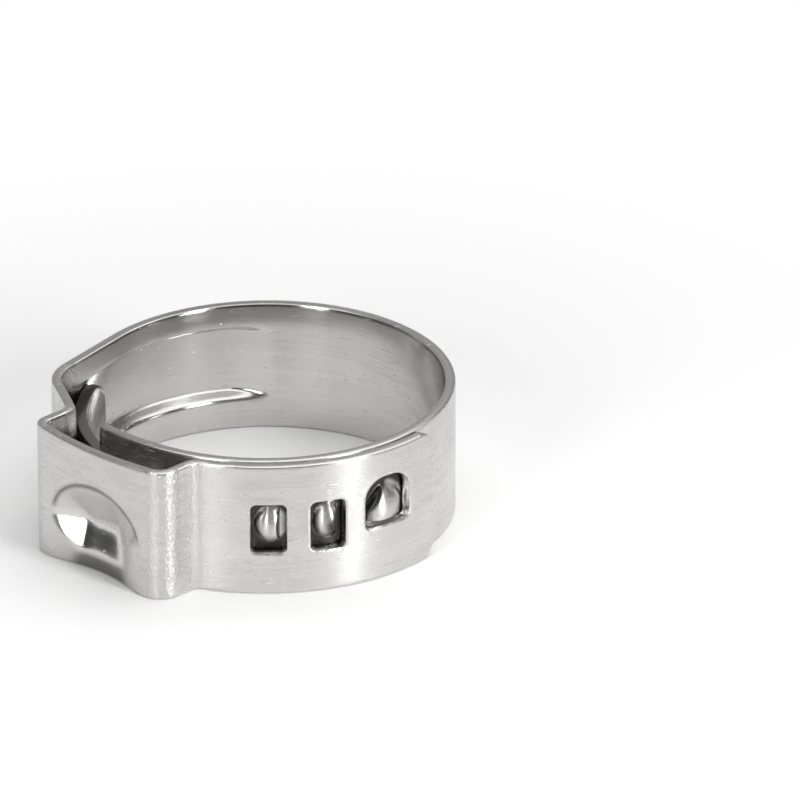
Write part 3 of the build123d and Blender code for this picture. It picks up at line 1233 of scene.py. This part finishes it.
@dataclass
class Wiring:
    """The nodes of a material or of the world, added one by one and linked as they are.

    Args:
        tree: The node tree.
    """

    tree: bpy.types.NodeTree

    def feed(self, node: bpy.types.Node, feeds: dict[str | int, Feed]) -> bpy.types.Node:
        """Set a node's sockets to values, or link them to other nodes.

        Args:
            node: The node.
            feeds: What goes into each socket.

        Returns:
            The node.
        """
        for name, value in feeds.items():
            if isinstance(value, bpy.types.NodeSocket):
                self.tree.links.new(value, node.inputs[name])
            else:
                node.inputs[name].default_value = value
        return node

    def add(self, kind: str, feeds: dict[str | int, Feed] | None = None) -> bpy.types.Node:
        """Add a node of a kind and feed it."""
        return self.feed(self.tree.nodes.new(kind), feeds or {})

    def math(self, operation: str, first: Feed, second: Feed) -> bpy.types.NodeSocket:
        """Work out one value from two."""
        node = self.add("ShaderNodeMath", {0: first, 1: second})
        node.operation = operation
        return node.outputs["Value"]

    def vector_math(self, operation: str, *feeds: Feed) -> bpy.types.NodeSocket:
        """Work out one value from a vector, or from two."""
        node = self.add("ShaderNodeVectorMath", dict(enumerate(feeds)))
        node.operation = operation
        return node.outputs["Value"]

    def spread(self, value: Feed, low: float, high: float) -> bpy.types.NodeSocket:
        """Bring a value from 0 to 1 to one from low to high."""
        node = self.add("ShaderNodeMapRange", {"Value": value, "To Min": low, "To Max": high})
        return node.outputs["Result"]

    def band(
        self, value: Feed, start: float, end: float, low: float = 0.0, high: float = 1.0
    ) -> bpy.types.NodeSocket:
        """Turn a value softly from low to high, between a start and an end.

        Args:
            value: The value that it follows.
            start: Where it leaves low.
            end: Where it reaches high.
            low: The result up to the start.
            high: The result from the end on.

        Returns:
            The result.
        """
        node = self.spread(value, low, high).node
        node.interpolation_type = "SMOOTHSTEP"
        self.feed(node, {"From Min": start, "From Max": end})
        return node.outputs["Result"]

    def mix(self, share: Feed, first: Feed, second: Feed) -> bpy.types.NodeSocket:
        """Mix two colours."""
        node = self.tree.nodes.new("ShaderNodeMix")
        node.data_type = "RGBA"
        return self.feed(node, {"Factor": share, "A": first, "B": second}).outputs["Result"]

    def note(self, note: Note, output: str = "Fac") -> bpy.types.NodeSocket:
        """Read what the mesh keeps."""
        node = self.tree.nodes.new("ShaderNodeAttribute")
        node.attribute_name = note.value
        return node.outputs[output]

    def noise(self, place: Feed, mark: Mark) -> bpy.types.NodeSocket:
        """Add noise that is drawn out as a mark is."""
        drawn = self.add("ShaderNodeMapping", {"Vector": place, "Scale": mark.value[:3]})
        feeds = {"Vector": drawn.outputs["Vector"], "Scale": 1.0, "Detail": mark.value[3]}
        return self.add("ShaderNodeTexNoise", feeds).outputs["Fac"]

    def bump(
        self, height: Feed, depth: float, under: bpy.types.NodeSocket | None = None
    ) -> bpy.types.NodeSocket:
        """Add a bump on top of another.

        Args:
            height: The height, from 0 to 1.
            depth: The full height in metres.
            under: The normal that it lies on.

        Returns:
            The new normal.
        """
        feeds = {"Height": height, "Distance": depth}
        if under is not None:
            feeds["Normal"] = under
        return self.add("ShaderNodeBump", feeds).outputs["Normal"]


@dataclass(frozen=True)
class StainlessFinish:
    """Bright rolled stainless strip, finely scratched along its length.

    Args:
        colour: Its colour.
        dull_colour: Its colour in streaks and clouds.
        roughness: Its roughness where it is bright.
        dull_roughness: Its roughness where it is dull.
        smooth_roughness: Its roughness where it is smoothest.
        painted_shade_colour: The dark colour that is painted on as shade.
        brushed: How much more it scatters across the strip than along it.
        grain_turn: The turn from the grain's map to the way it scatters, as a share of a circle.
        wear_share: How dull worked metal is.
        calming: How much of the marks is gone where the metal is smoothest.
        dull_band: The values of the streaks and clouds between which they turn dull.
        scratch_band: The values of the noise between which a scratch shows.
        pit_band: The values between which a pit shows.
        brush_depth: The depth of the brushing, in metres.
        scratch_depth: The depth of a scratch, in metres.
        pit_depth: The depth of a pit, in metres.
        rough_depth: The depth of the roughing at bends and punched edges, in metres.
    """

    colour: tuple[float, float, float] = (0.67, 0.665, 0.65)
    dull_colour: tuple[float, float, float] = (0.645, 0.638, 0.622)
    roughness: float = 0.25
    dull_roughness: float = 0.3
    smooth_roughness: float = 0.13
    painted_shade_colour: tuple[float, float, float] = (0.06, 0.057, 0.053)
    brushed: float = 0.85
    grain_turn: float = 0.25
    wear_share: float = 0.6
    calming: float = 0.8
    dull_band: tuple[float, float] = (0.12, 0.42)
    scratch_band: tuple[float, float] = (0.69, 0.74)
    pit_band: tuple[float, float] = (0.71, 0.76)
    brush_depth: float = 0.0000012
    scratch_depth: float = 0.000007
    pit_depth: float = 0.000012
    rough_depth: float = 0.000045

    def make(self) -> bpy.types.Material:
        """Make the material.

        Returns:
            The strip's material.
        """
        material = bpy.data.materials.new("stainless_strip")
        material.use_nodes = True
        wiring = Wiring(material.node_tree)
        grain = wiring.add("ShaderNodeTangent")
        grain.direction_type = "UV_MAP"
        grain.uv_map = Note.GRAIN.value
        place = wiring.note(Note.PLACE, "Vector")
        worked = wiring.note(Note.WORKED)
        smooth = wiring.note(Note.SMOOTH)
        scratches = wiring.band(wiring.noise(place, Mark.SCRATCHES), *self.scratch_band)
        streaks = wiring.noise(place, Mark.STREAKS)
        clouds = wiring.noise(place, Mark.CLOUDS)
        dull = wiring.band(wiring.math("MULTIPLY", streaks, clouds), *self.dull_band)

        colour = wiring.mix(dull, (*self.colour, 1.0), (*self.dull_colour, 1.0))
        # Painted shade: the colour is darkened where the mesh marks painted shade, on the tongue,
        # round the scoops, along the pocket's arch and lip, and in a band above the groove.
        colour = wiring.mix(wiring.note(Note.GRIMY), colour, (*self.painted_shade_colour, 1.0))

        worn = wiring.math("MAXIMUM", wiring.math("MULTIPLY", worked, self.wear_share), dull)
        worn = wiring.math("MAXIMUM", worn, scratches)
        rough = wiring.spread(worn, self.roughness, self.dull_roughness)
        smoother = wiring.math("MULTIPLY", smooth, self.roughness - self.smooth_roughness)

        left = wiring.math("SUBTRACT", 1.0, wiring.math("MULTIPLY", smooth, self.calming))
        brushing = wiring.math("MULTIPLY", wiring.noise(place, Mark.BRUSHING), left)
        normal = wiring.bump(brushing, self.brush_depth)
        scratched = wiring.math("SUBTRACT", 1.0, wiring.math("MULTIPLY", scratches, left))
        normal = wiring.bump(scratched, self.scratch_depth, normal)
        pits = wiring.band(wiring.noise(place, Mark.PITS), *self.pit_band)
        normal = wiring.bump(wiring.math("SUBTRACT", 1.0, pits), self.pit_depth, normal)
        roughing = wiring.math("MULTIPLY", wiring.noise(place, Mark.ROUGHING), worked)
        normal = wiring.bump(roughing, self.rough_depth, normal)

        feeds = {
            "Base Color": colour,
            "Metallic": 1.0,
            "Roughness": wiring.math("SUBTRACT", rough, smoother),
            "Anisotropic": self.brushed,
            "Anisotropic Rotation": self.grain_turn,
            "Tangent": grain.outputs["Tangent"],
            "Normal": normal,
        }
        wiring.feed(material.node_tree.nodes["Principled BSDF"], feeds)
        return material


# ---------------------------------------------------------------- stage, light and camera


@dataclass(frozen=True)
class Lamp:
    """A soft oblong lamp that faces the clamp.

    Args:
        name: Its name.
        bearing: Its direction from the clamp in plan, in degrees from +X towards +Y.
        lift: Its height above the horizon, in degrees.
        distance: Its distance, in metres.
        width: Its width, in metres.
        height: Its height, in metres.
        strength: How bright its face is, where 1 is white.
    """

    name: str
    bearing: float
    lift: float
    distance: float
    width: float
    height: float
    strength: float

    def build(self) -> None:
        """Set up the lamp."""
        turn, tilt = math.radians(self.bearing), math.radians(self.lift)
        level = math.cos(tilt)
        away = Vector((math.cos(turn) * level, math.sin(turn) * level, math.sin(tilt)))
        bpy.ops.object.light_add(type="AREA", location=away * self.distance)
        lamp = bpy.context.active_object
        lamp.name = self.name
        lamp.data.shape = "RECTANGLE"
        lamp.data.size = self.width
        lamp.data.size_y = self.height
        lamp.data.energy = self.strength * math.pi * self.width * self.height
        lamp.rotation_euler = away.to_track_quat("Z", "Y").to_euler()


@dataclass
class Stage:
    """A plain pale floor and soft studio light.

    Args:
        floor_size: The floor's size, in metres.
        floor_drop: How far it lies below the clamp, in metres.
        floor_colour: Its lightness.
        floor_roughness: Its roughness.
        paper_near: How far from the clamp's middle the floor begins to turn to white, in metres.
        paper_far: How far from it the floor is white.
        room_dark: How bright the room is on its dim side, where 1 is white.
        room_bright: How bright it is on its pale side.
        bright_bearing: The direction of its pale side, in degrees from +X towards +Y.
        lamps: The lamps.
    """

    floor_size: float = 0.9
    floor_drop: float = 0.00002
    floor_colour: float = 0.97
    floor_roughness: float = 0.7
    paper_near: float = 0.02
    paper_far: float = 0.045
    room_dark: float = 0.06
    room_bright: float = 0.42
    bright_bearing: float = 150.0
    lamps: tuple[Lamp, ...] = (
        Lamp("overhead", 75.0, 78.0, 0.32, 0.42, 0.42, 1.7),
        Lamp("right_softbox", 3.0, 20.0, 0.22, 0.042, 0.13, 18.0),
        Lamp("front_softbox", -75.0, 22.0, 0.22, 0.055, 0.10, 9.0),
    )

    def build(self) -> None:
        """Lay the floor and set the lamps and the surroundings."""
        bpy.ops.object.select_all(action="DESELECT")
        bpy.ops.mesh.primitive_plane_add(size=self.floor_size, location=(0.0, 0.0, 0.0))
        floor = bpy.context.active_object
        floor.name = "floor"
        for vertex in floor.data.vertices:
            vertex.co.z -= self.floor_drop
        floor.data.materials.append(self._floor_finish())
        self._surroundings()
        for lamp in self.lamps:
            lamp.build()

    def _floor_finish(self) -> bpy.types.Material:
        """Make the floor's plain pale finish, which turns to white paper away from the clamp.

        Returns:
            The floor's material.
        """
        material = bpy.data.materials.new("pale_floor")
        material.use_nodes = True
        wiring = Wiring(material.node_tree)
        nodes = material.node_tree.nodes
        floor = {"Base Color": (*(self.floor_colour,) * 3, 1.0), "Roughness": self.floor_roughness}
        shader = wiring.feed(nodes["Principled BSDF"], floor)
        where = wiring.add("ShaderNodeTexCoord").outputs["Object"]
        far = wiring.band(wiring.vector_math("LENGTH", where), self.paper_near, self.paper_far)
        ray = wiring.add("ShaderNodeLightPath").outputs
        seen = wiring.math("MAXIMUM", ray["Is Camera Ray"], ray["Is Glossy Ray"])
        paper = wiring.add("ShaderNodeEmission", {"Color": WHITE})
        feeds = {
            "Fac": wiring.math("MULTIPLY", far, seen),
            1: shader.outputs["BSDF"],
            2: paper.outputs["Emission"],
        }
        mixed = wiring.add("ShaderNodeMixShader", feeds)
        wiring.feed(nodes["Material Output"], {"Surface": mixed.outputs["Shader"]})
        return material

    def _surroundings(self) -> None:
        """Set the room: pale on the far side, and dim round the rest."""
        world = bpy.data.worlds.new("dim_room")
        bpy.context.scene.world = world
        world.use_nodes = True
        wiring = Wiring(world.node_tree)
        towards = wiring.add("ShaderNodeTexCoord").outputs["Generated"]
        pale_side = (*polar(1.0, self.bright_bearing), 0.0)
        facing = wiring.vector_math("DOT_PRODUCT", towards, pale_side)
        strength = wiring.band(facing, 0.0, 1.0, self.room_dark, self.room_bright)
        background = world.node_tree.nodes["Background"]
        wiring.feed(background, {"Color": WHITE, "Strength": strength})


@dataclass(frozen=True)
class Viewpoint:
    """The camera: where it stands, and where the bore's middle falls in the picture.

    Args:
        azimuth: Its bearing round the clamp, in degrees.
        elevation: Its height above the horizon, in degrees.
        distance: Its distance, in millimetres.
        scale: The picture's pixels to a millimetre at the clamp.
        middle: The pixel where the middle of the bore falls.
        mid_height: The height of that middle.
        sensor: The width of the sensor, in millimetres.
        clip: The nearest and the farthest place that it sees, in metres.
    """

    azimuth: float = 46.1
    elevation: float = 25.47
    distance: float = 500.0
    scale: float = 19.70
    middle: tuple[float, float] = (266.46, 441.65)
    mid_height: float = 3.5
    sensor: float = 36.0
    clip: tuple[float, float] = (0.01, 10.0)

    def build(self) -> None:
        """Set up the camera."""
        turn, tilt = math.radians(self.azimuth), math.radians(self.elevation)
        level = math.cos(tilt)
        back = Vector((math.sin(turn) * level, -math.cos(turn) * level, math.sin(tilt)))
        right = Vector((math.cos(turn), math.sin(turn), 0.0))
        up = back.cross(right)
        half = FRAME_PIXELS / 2
        aim = Vector((0.0, 0.0, self.mid_height))
        aim -= right * (self.middle[0] - half) / self.scale
        aim += up * (self.middle[1] - half) / self.scale
        data = bpy.data.cameras.new("camera")
        camera = bpy.data.objects.new("camera", data)
        bpy.context.collection.objects.link(camera)
        data.sensor_width = self.sensor
        data.lens = self.scale * self.distance / FRAME_PIXELS * self.sensor
        data.clip_start, data.clip_end = self.clip
        axes = Matrix((right, up, back)).transposed().to_4x4()
        camera.matrix_world = Matrix.Translation((aim + back * self.distance) * MM) @ axes
        bpy.context.scene.camera = camera


def main() -> None:
    """Build the clamp, dress it, and set the stage, the light and the camera."""
    logging.basicConfig(level=logging.INFO, format="%(name)s: %(message)s")
    scene = bpy.context.scene
    scene.view_settings.view_transform = "Standard"
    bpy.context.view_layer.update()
    band = ClampBand().build()
    band.data.materials.append(StainlessFinish().make())
    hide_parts("clamp_band")
    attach(band, "root")
    log.info("clamp band: %d faces", len(band.data.polygons))
    Stage().build()
    Viewpoint().build()


if __name__ == "__main__":
    main()
